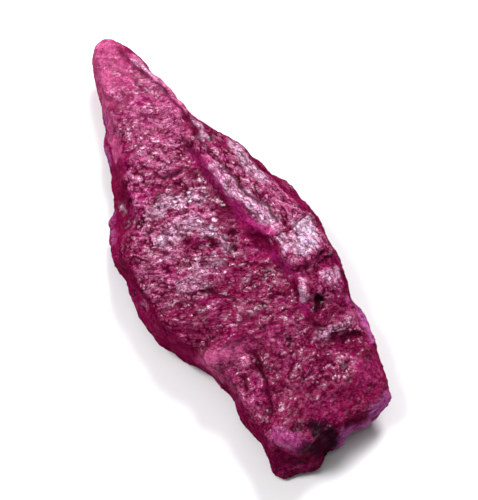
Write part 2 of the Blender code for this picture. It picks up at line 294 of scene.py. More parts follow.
# The raised blocks of the terrace, one path over the top of each.
SLAB = ((7.2, -5.6), (10.4, -5.4), (11.4, -6.8), (11.0, -8.4), (8.8, -8.5), (7.2, -7.4))
BLOCK = ((7.9, -13.1), (10.4, -12.5), (10.2, -14.4), (8.3, -14.3))
KNOB = ((6.3, -12.2), (6.0, -13.0), (5.7, -13.6))
SHELF = ((5.0, -18.7), (6.8, -19.1), (8.4, -19.5), (9.6, -19.2))

FURROWS = (
    # cracks above and below the slab, and the rib along its lower edge
    Furrow(((6.6, -4.6), (7.4, -4.3), (8.2, -4.7), (9.0, -5.0), (9.7, -4.8), (10.5, -4.4), (11.6, -4.0)),
           0.45, 0.45),
    Furrow(((7.2, -11.3), (8.6, -11.5), (10.3, -11.3), (11.8, -11.1)), 0.60, 0.30, 0.3),
    Furrow(((6.6, -9.4), (7.6, -10.1), (8.8, -10.4), (10.2, -10.2), (11.6, -9.7)), 0.95, -0.50, 0.0),
    # cracks under the block
    Furrow(((6.9, -14.9), (6.9, -15.6), (6.4, -16.2)), 0.60, 0.45),
    Furrow(((7.4, -15.2), (9.0, -16.0), (9.6, -17.2)), 0.45, 0.30),
    # crack behind the brow of the terrace, up to the tip
    Furrow(((4.8, 21.0), (5.2, 18.4), (5.5, 15.7), (5.3, 13.6), (5.2, 11.8), (5.5, 9.2), (6.1, 6.2),
            (6.3, 4.2)), 0.45, 0.22, 0.8),
    Furrow(((2.8, 29.2), (3.2, 27.0), (3.4, 25.8), (3.8, 24.2), (4.3, 22.6), (4.8, 21.0)),
           0.50, 0.14, 0.50),
    Furrow(((0.4, 30.0), (1.1, 27.2), (2.1, 24.8), (2.9, 22.9), (3.5, 20.6)), 0.40, 0.10, 0.40),
    Furrow(((6.3, 4.2), (6.4, 2.2), (7.2, 0.8), (8.0, -0.5), (7.9, -3.2)), 0.40, 0.26),
    # foot of the step
    Furrow(VALLEY, 0.9, 0.20, 0.0),
    # creases of the broad face
    Furrow(((-2.3, 11.3), (-1.5, 10.4), (-0.3, 10.1), (0.9, 10.0)), 0.45, 0.22),
    Furrow(((-3.0, 5.1), (-2.0, 4.8), (-1.0, 4.7)), 0.40, 0.20),
    Furrow(((-2.1, -9.1), (-2.7, -8.2), (-3.8, -6.8), (-5.6, -5.8)), 0.55, 0.18),
    # crack and short groove of the low strip beside the base
    Furrow(((-3.9, -16.6), (-4.2, -18.3), (-4.6, -19.9), (-4.9, -21.5), (-5.3, -23.1), (-6.1, -24.5)),
           0.50, 0.28),
    Furrow(((-6.8, -18.0), (-6.9, -19.8)), 0.45, 0.20),
    # hollow under the end of the terrace
    Furrow(((4.8, -20.0), (6.4, -20.7), (8.0, -21.2), (9.1, -21.4)), 0.8, 0.35, 0.2),
)

# The lip under the terrace and the lip of the notch in the left ridge.
LEDGES = (
    Ledge(((9.8, -19.6), (8.6, -19.9), (7.2, -19.6), (6.2, -19.2), (4.9, -19.1)), 0.30, 0.4, 2.2),
    Ledge(((-11.2, 4.9), (-10.1, 6.2), (-8.7, 6.4), (-7.1, 7.1), (-6.4, 9.1)), 0.16, 1.5, 2.8),
)

LUMPS = (
    # hollow below the tip, knob of the terrace, corner and edge of the base
    Lump((-1.7, 23.0, 9.2), (1.0, 1.2, 1.6), -0.25),
    Lump((6.1, -13.1, 12.0), (1.2, 1.5, 1.8), 0.32),
    Lump((-6.1, -28.4, 10.0), (1.7, 1.5, 2.0), 0.30),
    Lump((-2.4, -30.2, 9.0), (2.0, 0.9, 2.0), -0.30),
    # pit of the broad face and the crest beside it
    Lump((-1.9, -0.3, 10.6), (1.9, 1.2, 2.0), -0.42),
    Lump((0.4, -1.2, 10.6), (0.7, 1.8, 2.0), 0.28),
)

FACE_CRINKLES = Crinkles(turn=-31.5, along=0.92, across=0.46, rise=0.080, plates=1.1, seed=5.0)
TERRACE_CRINKLES = Crinkles(turn=-78.0, along=0.92, across=0.48, rise=0.085, plates=1.2, seed=41.0)
BASE_CRINKLES = Crinkles(turn=-10.0, along=0.60, across=0.46, rise=0.070, plates=1.2, seed=67.0)

# Where the crinkles change, as the X place of the step's brow at each Y place.
BROW_LINE = ((-17.0, -10.0, -2.9, 2.5, 5.8, 9.0, 14.0, 20.0, 26.0, 32.0),
             (5.2, 6.2, 5.6, 4.4, 4.0, 3.9, 4.4, 4.7, 3.8, 2.8))

STAINS: dict[Tint, tuple[Stain, ...]] = {
    # smooth skin without painted sheen: the valley, the left flank and the base
    Tint.SILK: (
        Stain(VALLEY, 1.2, 0.70),
        Stain(((-4.8, 18.4), (-6.3, 15.2), (-7.8, 12.0), (-9.2, 9.0), (-11.2, 6.4)), 1.3, 0.90),
        Stain(((-12.8, 3.4), (-13.2, -2.6), (-12.8, -6.8), (-11.0, -11.0)), 0.9, 0.80),
        Stain(((10.6, -23.0), (9.8, -26.6), (8.4, -29.2), (5.8, -30.2)), 1.6, 0.60),
        Stain(((-2.0, -27.4), (1.6, -28.0), (4.6, -27.6)), 2.0, 0.35),
        Stain(((-2.6, 24.6), (-2.0, 23.2), (-1.6, 22.0)), 1.1, 0.80),
    ),
    # frosted crests with painted sheen on the top and the terrace
    Tint.FROST_AND_SHEEN: (
        Stain(((-10.0, -1.5), (-7.5, 1.5), (-3.5, 3.5), (0.4, 5.0)), 4.3, 1.0),
        Stain(((-6.4, -4.6), (-3.6, -3.0), (-1.4, -2.5)), 3.0, 0.60),
        Stain(((3.8, 23.0), (3.6, 19.5), (3.0, 16.0), (2.2, 13.0)), 2.4, 1.0),
        Stain(((-4.6, 13.0), (-6.4, 8.0), (-8.0, 4.6)), 1.8, 1.0),
        Stain(((9.4, 5.0), (9.8, 1.0), (10.2, -3.4)), 2.2, 1.0),
        Stain(((2.0, -16.4), (4.0, -17.4)), 2.0, 0.6),
        Stain(((0.6, -17.2), (2.0, -17.6)), 1.2, 0.90),
        Stain(((-5.8, -4.8), (-4.4, -5.5)), 1.3, 0.85),
        Stain(((8.4, -20.5), (9.8, -20.7)), 0.9, 0.70),
        Stain(((-0.4, 24.0), (-0.6, 20.0), (-0.8, 16.0), (-1.6, 11.5)), 4.0, 0.80),
        Stain(((-7.6, -14.4), (-5.8, -16.0)), 2.2, 0.80),
        Stain(BROW, 1.5, 1.0),
        Stain(((5.8, 9.5), (7.0, 6.2), (8.0, 2.5), (9.0, 0.0)), 1.6, 0.80),
        Stain(SLAB, 2.1, 1.0),
        Stain(((6.6, -9.2), (8.6, -10.1), (10.2, -9.9), (11.6, -9.4)), 1.0, 0.60),
        Stain(BLOCK, 1.5, 0.90),
        Stain(KNOB, 1.1, 1.0),
        Stain(SHELF, 0.9, 1.0),
        Stain(((8.3, 8.4), (9.4, 6.6), (10.2, 4.4)), 1.7, 0.85),
        Stain(((8.6, 2.6), (9.6, 0.4), (10.2, -2.0)), 2.0, 0.65),
    ),
    # near-white painted highlights on the slab, the brow and the broad face
    Tint.MIST: (
        Stain(((10.2, -5.6), (11.0, -5.4), (10.4, -7.2), (9.2, -7.7)), 2.0, 1.0),
        Stain(((4.9, 7.2), (5.0, 6.6), (5.2, 4.8), (5.6, 3.0), (6.4, 1.2), (7.0, -0.8),
               (7.4, -2.8)), 1.5, 0.62),
        Stain(((5.6, 12.6), (6.0, 15.0)), 0.9, 0.4),
        Stain(((4.1, 27.2), (4.5, 24.8), (5.0, 22.2)), 0.7, 0.40),
        Stain(((8.8, 9.9), (8.9, 6.8), (9.2, 5.0), (9.6, 3.1)), 1.2, 0.60),
        Stain(((-5.0, 6.6), (-3.4, 7.6), (-1.8, 6.8)), 1.5, 0.55),
        Stain(((0.2, 6.4), (1.2, 5.2)), 1.1, 0.5),
        Stain(((-6.4, 2.6), (-3.6, 3.6), (-1.4, 2.8)), 1.7, 0.45),
        Stain(((-1.0, 1.3), (0.1, 0.6), (0.6, -1.0), (0.6, -2.6)), 0.9, 0.55),
        Stain(((-7.6, -4.4), (-4.4, -3.2), (-2.0, -3.4)), 1.5, 0.25),
        Stain(((9.6, -12.6), (10.6, -13.2)), 1.1, 0.5),
        Stain(((7.0, -5.1), (7.3, -5.9), (7.3, -6.9)), 1.1, 0.65),
        Stain(((-5.7, -4.8), (-4.4, -5.4)), 1.2, 0.30),
        Stain(KNOB, 0.9, 0.6),
        Stain(((-7.8, 11.3), (-8.2, 10.4)), 0.45, 0.60),
        Stain(((-8.4, 8.6), (-8.5, 7.9), (-9.2, 7.8)), 0.50, 0.80),
        Stain(SHELF, 0.8, 0.40),
    ),
    # wine-red painted shade in the hollows and on the flanks
    Tint.WINE_SHADE: (
        Stain(((-6.0, 15.6), (-7.8, 12.0), (-9.4, 8.8), (-11.2, 6.2), (-12.6, 2.4)), 0.9, 0.40),
        Stain(((-6.6, 12.8), (-7.8, 10.8), (-8.6, 9.2), (-9.6, 7.6)), 0.9, 0.60),
        Stain(((-13.2, -4.0), (-12.6, -8.0), (-11.0, -11.6)), 0.9, 0.30),
        Stain(VALLEY[-4:], 1.0, 0.50),
        Stain(((2.4, 9.0), (2.5, 5.4), (2.9, 2.4), (2.8, -0.4)), 1.2, 0.55),
        Stain(((-9.9, -0.8), (-8.8, -4.2), (-7.2, -7.6)), 1.7, 0.45),
        Stain(((7.2, -10.6), (10.4, -10.4), (12.4, -10.9)), 0.9, 0.35),
        Stain(((5.0, -20.2), (7.0, -21.2), (8.4, -22.4), (9.0, -24.0)), 1.7, 0.60),
        Stain(((-2.9, -0.1), (-1.6, -0.4), (-0.7, -0.6)), 0.9, 0.80),
        Stain(((-2.0, -2.9), (-0.6, -3.6)), 1.0, 0.50),
        Stain(((-9.8, 0.6), (-8.7, 1.8)), 1.1, 0.50),
        Stain(((5.4, -25.5), (8.4, -26.2)), 1.8, 0.20),
        Stain(((-0.1, 21.2), (0.4, 20.2)), 0.8, 0.60),
        Stain(((-2.2, 23.7), (-1.6, 22.4)), 1.0, 0.60),
        Stain(((-9.5, -12.3), (-8.2, -12.0), (-6.8, -11.7), (-4.6, -11.2)), 0.8, 0.55),
    ),
    # pale pink painted light: the thin tip's glow, and the lit brow, ridges, blocks and hump
    Tint.PALE_LIGHT: (
        Stain(((1.4, 32.2), (0.6, 29.5), (-0.4, 26.0)), 3.4, 0.82),
        Stain(((4.2, 27.8), (4.7, 24.5), (5.3, 20.8), (5.9, 17.6)), 0.9, 1.00, 9.4),
        Stain(((-9.4, -14.0), (-7.8, -14.6), (-5.8, -15.2)), 2.1, 0.80, 7.0),
        Stain(((-8.0, -17.0), (-7.5, -20.0), (-7.5, -23.4)), 1.2, 0.45),
        Stain(((-0.6, 28.6), (-1.8, 26.0), (-2.8, 24.0)), 1.3, 0.70, 4.0),
        Stain(((-2.8, 24.0), (-3.7, 21.6), (-4.2, 20.2), (-4.9, 18.3), (-5.3, 16.4)), 0.4, 1.0),
        Stain(((-3.0, 22.0), (-3.9, 19.6), (-5.0, 17.0)), 0.9, 0.55),
        Stain(((3.2, 27.0), (4.0, 23.0), (3.9, 19.0), (3.0, 15.0)), 1.7, 0.40, 9.0),
        Stain(BROW[2:], 1.3, 0.95),
        Stain(BROW[1:3], 1.1, 0.20),
        Stain(((5.0, 0.2), (5.5, -1.6), (6.1, -3.2)), 0.8, 0.45),
        Stain(((9.0, 10.0), (9.3, 6.0), (9.8, 1.6), (10.4, -2.6)), 1.5, 0.30),
        Stain(((-0.6, 23.0), (-0.4, 18.0), (-1.0, 11.6)), 3.2, 0.28),
        Stain(SHELF, 0.9, 0.40),
        Stain(KNOB, 1.0, 0.9),
        Stain(((6.2, -8.6), (7.2, -9.4), (8.8, -9.8), (10.6, -9.4), (11.8, -8.4)), 0.9, 0.35),
        Stain(((9.2, -18.7), (10.6, -18.9), (10.8, -20.4)), 0.9, 0.55),
        Stain(((4.6, 17.4), (4.2, 15.4), (3.6, 13.4)), 1.0, 0.50),
        Stain(((-5.2, 7.2), (-6.4, 6.0)), 1.0, 0.30),
        Stain(((1.0, 16.4), (1.4, 14.6)), 1.6, 0.55),
        Stain(((-9.0, -15.2), (-8.4, -16.8)), 1.2, 0.60),
        Stain(((7.3, -5.7), (7.3, -6.9)), 1.1, 0.50),
    ),
    # lilac painted reflection on the rims
    Tint.LILAC_REFLECTION: (
        Stain(((8.6, -30.6), (6.7, -31.4), (4.6, -31.9), (2.4, -31.8), (0.4, -31.6)), 1.5, 1.0),
        Stain(((11.6, -16.9), (11.6, -19.7), (11.3, -22.7)), 0.9, 0.70),
        Stain(((-6.9, -27.2), (-6.1, -28.4), (-5.2, -29.5)), 1.6, 0.38),
        Stain(((-4.2, 23.6), (-5.0, 22.0), (-5.9, 20.2), (-6.8, 17.9)), 1.0, 0.72),
        Stain(((-9.4, 12.5), (-10.5, 10.3), (-11.6, 7.9)), 0.9, 0.30),
    ),
    # magenta glow in the wall of the step
    Tint.GLOW: (
        Stain(((3.7, 7.6), (4.0, 5.0), (4.4, 2.2), (4.6, -0.6)), 1.2, 0.65),
        Stain(((3.3, 11.4), (3.4, 9.4), (3.7, 7.6)), 0.9, 0.50),
        Stain(((4.9, 0.2), (5.2, -1.2), (5.7, -2.8), (6.2, -3.6)), 0.9, 0.85),
        Stain(((4.0, 6.2), (4.2, 4.0), (4.6, 2.2)), 0.6, 0.6),
        Stain(((5.6, -7.0), (5.5, -8.2), (5.7, -9.4), (6.8, -10.2)), 0.9, 0.70),
        Stain(((5.2, -13.4), (5.1, -14.8)), 0.9, 0.65),
    ),
    # dark inclusions at the base and under the terrace
    Tint.INK: (
        Stain(((7.3, -14.7), (6.8, -15.4), (6.5, -16.0)), 0.75, 1.0),
        Stain(((-2.0, -28.9), (-1.2, -29.8), (-0.6, -30.9)), 1.6, 1.0),
        Stain(((-4.8, -30.4), (-3.4, -31.0), (-1.8, -31.6)), 1.3, 0.9),
    ),
    # softer skin of the hump beside the base and the swell above it
    Tint.CALM: (
        Stain(((-10.4, -13.6), (-8.0, -13.8), (-5.4, -14.2), (-2.6, -14.0)), 1.9, 0.30),
        Stain(((-2.4, -12.4), (-2.2, -9.6)), 2.0, 0.30),
        Stain(((-2.4, -24.4), (-4.2, -25.6), (-5.8, -28.0), (-4.6, -29.4)), 2.2, 0.30),
        Stain(((3.4, -27.6), (6.8, -26.6), (8.6, -24.0)), 2.4, 0.25),
    ),
}


@dataclass(frozen=True)
class BerylFinish:
    """Raspberry stone with a greasy, frosted skin, with painted sheen, highlights, reflections, light
    and shade among its colours. Lengths are millimetres.
    """

    body: Colour = (0.200, 0.003, 0.049)
    blush: Colour = (0.290, 0.007, 0.092)
    # near-black of the veins, and of the painted shade in the creases and furrows
    deep: Colour = (0.050, 0.0008, 0.009)
    # pale colour of the frosted crests and of the painted sheen on them
    crest_sheen: Colour = (0.700, 0.240, 0.430)
    # colour of the near-white painted highlights
    painted_highlight: Colour = (0.800, 0.650, 0.780)
    tints: dict[Tint, Colour] = field(default_factory=lambda: {
        Tint.SILK: (0.200, 0.0025, 0.048),
        # painted shade
        Tint.WINE_SHADE: (0.100, 0.0015, 0.018),
        # pink painted light
        Tint.PALE_LIGHT: (0.64, 0.130, 0.300),
        # painted reflection on the rims
        Tint.LILAC_REFLECTION: (0.54, 0.115, 0.380),
        Tint.GLOW: (0.400, 0.014, 0.155),
        Tint.INK: (0.022, 0.004, 0.014),
    })
    roughness: tuple[float, float] = (0.40, 0.60)
    refraction: float = 1.58
    gloss_refraction: float = 1.6
    gloss_roughness: float = 0.28
    translucence: float = 0.35
    scatter_depth: float = 0.9
    scatter: Colour = (1.0, 0.12, 0.35)         # share of that depth for red, green and blue light
    facet_turn: float = -31.5                   # degrees from the X axis to the facets' length
    facet_length: float = 0.52
    facet_width: float = 0.30
    facet_rise: float = 0.15
    facet_crease_shade: float = 0.9                   # darkness of the painted shade in the facets' creases
    darkest_crease_shade: float = 0.95

    def material(self) -> bpy.types.Material:
        """Build the stone's material.

        Returns:
            The material, which reads the masks that the stone's mesh holds.
        """
        made = bpy.data.materials.new("raspberry beryl")
        made.use_nodes = True
        tree = made.node_tree
        shader = tree.nodes["Principled BSDF"]
        shader.inputs["IOR"].default_value = self.refraction
        shader.inputs["Specular IOR Level"].default_value = 0.0
        shader.inputs["Coat Roughness"].default_value = self.gloss_roughness
        shader.inputs["Coat IOR"].default_value = self.gloss_refraction
        shader.inputs["Subsurface Weight"].default_value = self.translucence
        shader.inputs["Subsurface Radius"].default_value = self.scatter
        shader.inputs["Subsurface Scale"].default_value = self.scatter_depth * MM
        place = scaled(tree, tree.nodes.new("ShaderNodeTexCoord").outputs["Object"], 1.0 / MM)
        facets = placed_group(tree, crinkle_group(), place, Turn=self.facet_turn,
                              Along=self.facet_length, Across=self.facet_width)
        crinkled = self.crinkled(tree)

        colour = self.with_painted_sheen(tree, place, facets, self.ground(tree, place))
        # painted shade: the creases and the bottoms of the furrows darken towards near-black
        crease = multiplied(tree, facets.outputs["Crease"], self.facet_crease_shade)
        crease = maximum(tree, attribute(tree, "crease"), crease)
        crease = multiplied(tree, multiplied(tree, crease, crinkled), self.darkest_crease_shade)
        dark = maximum(tree, crease, attribute(tree, "seam"))
        tree.links.new(mixed(tree, dark, colour, self.deep), shader.inputs["Base Color"])

        rough = remapped(tree, noise_texture(tree, place, 0.9, 2.0), 0.3, 0.7, *self.roughness)
        tree.links.new(rough, shader.inputs["Roughness"])
        coat = multiplied(tree, attribute(tree, "gloss"), inverted(tree, dark))
        tree.links.new(coat, shader.inputs["Coat Weight"])

        bump = tree.nodes.new("ShaderNodeBump")
        bump.inputs["Strength"].default_value = 1.0
        bump.inputs["Distance"].default_value = self.facet_rise * MM
        tree.links.new(multiplied(tree, facets.outputs["Height"], crinkled), bump.inputs["Height"])
        tree.links.new(bump.outputs["Normal"], shader.inputs["Normal"])
        return made

    def ground(self, tree: Tree, place: Socket) -> Socket:
        """Clouded, veined body with the tints that lie on it, painted light and shade among them.

        Args:
            tree: The material's node tree.
            place: Socket with the place in millimetres.

        Returns:
            The socket with the colour.
        """
        cloud = remapped(tree, noise_texture(tree, place, 0.22, 3.0), 0.42, 0.66)
        colour = mixed(tree, cloud, self.body, self.blush)
        vein = remapped(tree, noise_texture(tree, place, 0.55, 2.0), 0.56, 0.72)
        colour = mixed(tree, vein, colour, self.deep)
        mottle = remapped(tree, noise_texture(tree, place, 0.8, 2.0), 0.40, 0.60, 0.45, 1.0)
        for tint, shade in self.tints.items():
            cover = attribute(tree, tint.value)
            # the pink painted light is mottled
            if tint is Tint.PALE_LIGHT:
                cover = multiplied(tree, cover, mottle)
            colour = mixed(tree, cover, colour, shade)
        return colour

    def with_painted_sheen(self, tree: Tree, place: Socket, facets: bpy.types.Node, colour: Socket) -> Socket:
        """Frosted crests with painted sheen, and near-white painted highlights where there are some,
        over the body.

        Args:
            tree: The material's node tree.
            place: Socket with the place in millimetres.
            facets: Node of the finest crinkles.
            colour: Socket with the body's colour.

        Returns:
            The socket with the new colour.
        """
        # no frost or painted sheen over the ink, the painted shade or the smooth skin
        ink_and_shade = maximum(tree, attribute(tree, Tint.INK.value), attribute(tree, Tint.WINE_SHADE.value))
        plain = inverted(tree, maximum(tree, ink_and_shade, attribute(tree, Tint.SILK.value)))
        # painted sheen: paler on the crests and on the raised side of each facet
        sheen_share = multiplied(tree, attribute(tree, "crest_sheen"),
                            remapped(tree, facets.outputs["Light"], 0.18, 0.52, 0.2, 1.0))
        cloudy = remapped(tree, noise_texture(tree, place, 0.5, 2.0), 0.34, 0.54, 0.35, 1.0)
        frost_and_sheen = multiplied(tree, attribute(tree, Tint.FROST_AND_SHEEN.value), cloudy)
        frost_and_sheen = multiplied(tree, multiplied(tree, sheen_share, frost_and_sheen), plain)
        colour = mixed(tree, frost_and_sheen, colour, self.crest_sheen)
        # near-white painted highlight where the crests take the most painted sheen
        painted_highlight = multiplied(tree, remapped(tree, sheen_share, 0.0, 0.6, 0.35, 1.0),
                          attribute(tree, Tint.MIST.value))
        return mixed(tree, painted_highlight, colour, self.painted_highlight)

    @staticmethod
    def crinkled(tree: Tree) -> Socket:
        """How much of the finest crinkles shows: less on smooth skin, under the glow and under the
        painted highlights, none on calm skin.

        Args:
            tree: The material's node tree.

        Returns:
            The socket with the share.
        """
        smoothed = maximum(tree, attribute(tree, Tint.GLOW.value), attribute(tree, Tint.SILK.value))
        smoothed = maximum(tree, smoothed, multiplied(tree, attribute(tree, Tint.MIST.value), 0.2))
        smoothed = multiplied(tree, smoothed, 0.7)
        return inverted(tree, maximum(tree, smoothed, attribute(tree, Tint.CALM.value)))


# ---------------------------------------------------------------- node helpers

def fill(tree: Tree, sockets: Iterable[Socket],
         values: Iterable[Socket | float | Sequence[float]]) -> None:
    """Fill sockets in turn.

    Args:
        tree: The node tree that they are in.
        sockets: Input sockets.
        values: Sockets to link to them, or numbers and vectors to set them to.
    """
    for socket, value in zip(sockets, values):
        if isinstance(value, Socket):
            tree.links.new(value, socket)
        else:
            socket.default_value = value


def scaled(tree: Tree, vector: Socket, scale: float) -> Socket:
    """Vector times a number.

    Args:
        tree: The node tree to add to.
        vector: Socket with the vector.
        scale: The number.

    Returns:
        The socket with the product.
    """
    node = tree.nodes.new("ShaderNodeVectorMath")
    node.operation = "SCALE"
    node.inputs["Scale"].default_value = scale
    tree.links.new(vector, node.inputs[0])
    return node.outputs["Vector"]


def vector_node(tree: Tree, operation: str, *values: Socket | Place) -> Socket:
    """Vector Math node.

    Args:
        tree: The node tree to add to.
        operation: The node's operation.
        values: Sockets or vectors, in the order of the node's inputs.

    Returns:
        The socket with the result.
    """
    node = tree.nodes.new("ShaderNodeVectorMath")
    node.operation = operation
    fill(tree, node.inputs, values)
    return node.outputs["Value" if operation == "DOT_PRODUCT" else "Vector"]


def attribute(tree: Tree, name: str) -> Socket:
    """Value of one of the mesh's own point attributes.

    Args:
        tree: The node tree to add to.
        name: The attribute's name.

    Returns:
        The socket with the value.
    """
    node = tree.nodes.new("ShaderNodeAttribute")
    node.attribute_name = name
    return node.outputs["Fac"]


def noise_texture(tree: Tree, place: Socket, scale: float, detail: float) -> Socket:
    """Cloudy noise.

    Args:
        tree: The node tree to add to.
        place: Socket with the place in millimetres.
        scale: Cells a millimetre.
        detail: How many finer layers lie on the first.

    Returns:
        The socket with the noise, from 0 to 1.
    """
    node = tree.nodes.new("ShaderNodeTexNoise")
    node.inputs["Scale"].default_value = scale
    node.inputs["Detail"].default_value = detail
    tree.links.new(place, node.inputs["Vector"])
    return node.outputs["Fac"]


def remapped(tree: Tree, value: Socket, low: float, high: float, to_low: float = 0.0,
             to_high: float = 1.0) -> Socket:
    """Value carried smoothly from one range to another, and kept inside it.

    Args:
        tree: The node tree to add to.
        value: Socket with the value.
        low: Value that becomes to_low.
        high: Value that becomes to_high.
        to_low: Start of the new range.
        to_high: End of the new range.

    Returns:
        The socket with the new value.
    """
    node = tree.nodes.new("ShaderNodeMapRange")
    node.interpolation_type = "SMOOTHSTEP"
    for name, number in (("From Min", low), ("From Max", high), ("To Min", to_low), ("To Max", to_high)):
        node.inputs[name].default_value = number
    tree.links.new(value, node.inputs["Value"])
    return node.outputs["Result"]


def math_node(tree: Tree, operation: str, *values: Socket | float) -> Socket:
    """Math node.

    Args:
        tree: The node tree to add to.
        operation: The node's operation.
        values: Sockets or numbers, in the order of the node's inputs.

    Returns:
        The socket with the result.
    """
    node = tree.nodes.new("ShaderNodeMath")
    node.operation = operation
    fill(tree, node.inputs, values)
    return node.outputs["Value"]


def multiplied(tree: Tree, *values: Socket | float) -> Socket:
    """Product of two values."""
    return math_node(tree, "MULTIPLY", *values)


def maximum(tree: Tree, *values: Socket | float) -> Socket:
    """Greater of two values."""
    return math_node(tree, "MAXIMUM", *values)


def inverted(tree: Tree, value: Socket) -> Socket:
    """One less the value."""
    return math_node(tree, "SUBTRACT", 1.0, value)


def mixed(tree: Tree, share: Socket, under: Socket | Colour, over: Colour) -> Socket:
    """One colour laid over another.

    Args:
        tree: The node tree to add to.
        share: Socket with how much the upper colour covers.
        under: The lower colour.
        over: The upper colour.

    Returns:
        The socket with the mixed colour.
    """
    node = tree.nodes.new("ShaderNodeMix")
    node.data_type = "RGBA"
    tree.links.new(share, node.inputs["Factor"])
    if not isinstance(under, Socket):
        under = (*under, 1.0)
    fill(tree, (node.inputs[6], node.inputs[7]), (under, (*over, 1.0)))     # its two colours
    return node.outputs[2]                                                  # its colour


def placed_group(tree: Tree, group: Tree, place: Socket, **values: float) -> bpy.types.Node:
    """Put a node group in a tree.

    Args:
        tree: The node tree to add to.
        group: The group.
        place: Socket for the group's Place.
        values: Numbers for its other inputs, by name.

    Returns:
        The group's node.
    """
    node = tree.nodes.new("ShaderNodeGroup")
    node.node_tree = group
    tree.links.new(place, node.inputs["Place"])
    for name, value in values.items():
        node.inputs[name].default_value = value
    return node


def crinkle_group() -> Tree:
    """Small tipped facets with creases between them, longer one way than the other.

    Returns:
        A node group from a place in millimetres to a Height, a Crease mask that the material fills with
        painted shade, and how Light a facet is, which sets its painted sheen.
    """
    group = bpy.data.node_groups.new("crinkle", "ShaderNodeTree")
    group.interface.new_socket("Place", in_out="INPUT", socket_type="NodeSocketVector")
    for label in ("Turn", "Along", "Across"):
        group.interface.new_socket(label, in_out="INPUT", socket_type="NodeSocketFloat")
    for label in ("Height", "Crease", "Light"):
        group.interface.new_socket(label, in_out="OUTPUT", socket_type="NodeSocketFloat")
    given = group.nodes.new("NodeGroupInput").outputs
    wanted = group.nodes.new("NodeGroupOutput").inputs

    # cells of one facet each, turned, stretched and bent a little
    stray = group.nodes.new("ShaderNodeTexNoise")
    stray.inputs["Scale"].default_value = 0.9
    group.links.new(given["Place"], stray.inputs["Vector"])
    turned = group.nodes.new("ShaderNodeVectorRotate")
    turned.rotation_type = "Z_AXIS"
    bent = vector_node(group, "MULTIPLY_ADD", stray.outputs["Color"], (0.6, 0.6, 0.6), given["Place"])
    group.links.new(bent, turned.inputs["Vector"])
    angle = math_node(group, "RADIANS", multiplied(group, given["Turn"], -1.0))
    group.links.new(angle, turned.inputs["Angle"])
    stretch = group.nodes.new("ShaderNodeCombineXYZ")
    fill(group, stretch.inputs, (given["Along"], given["Across"], given["Across"]))
    cells = vector_node(group, "DIVIDE", turned.outputs["Vector"], stretch.outputs["Vector"])

    # each facet tips its own way, by its cell's random colour
    facet = group.nodes.new("ShaderNodeTexVoronoi")
    border = group.nodes.new("ShaderNodeTexVoronoi")
    border.feature = "DISTANCE_TO_EDGE"
    for node in (facet, border):
        node.inputs["Scale"].default_value = 1.0
        group.links.new(cells, node.inputs["Vector"])
    offset = vector_node(group, "SUBTRACT", cells, facet.outputs["Position"])
    tip = vector_node(group, "SUBTRACT", facet.outputs["Color"], (0.5, 0.5, 0.5))
    rise = vector_node(group, "DOT_PRODUCT", offset, tip)

    # finer folds over the facets, and creases along their borders where the folds are low
    specks = math_node(group, "MULTIPLY_ADD", noise_texture(group, cells, 2.6, 1.0), 1.0, -0.5)
    folds = math_node(group, "ADD", noise_texture(group, cells, 1.1, 2.0), specks)
    crease = remapped(group, border.outputs["Distance"], 0.0, 0.18, 1.0, 0.0)
    crease = multiplied(group, crease, remapped(group, folds, 0.42, 0.60, 1.0, 0.0))
    height = math_node(group, "MULTIPLY_ADD", rise, 2.0, folds)
    group.links.new(math_node(group, "MULTIPLY_ADD", crease, -0.4, height), wanted["Height"])
    group.links.new(crease, wanted["Crease"])
    group.links.new(math_node(group, "MULTIPLY_ADD", rise, 1.2, folds), wanted["Light"])
    return group


# ---------------------------------------------------------------- the stone

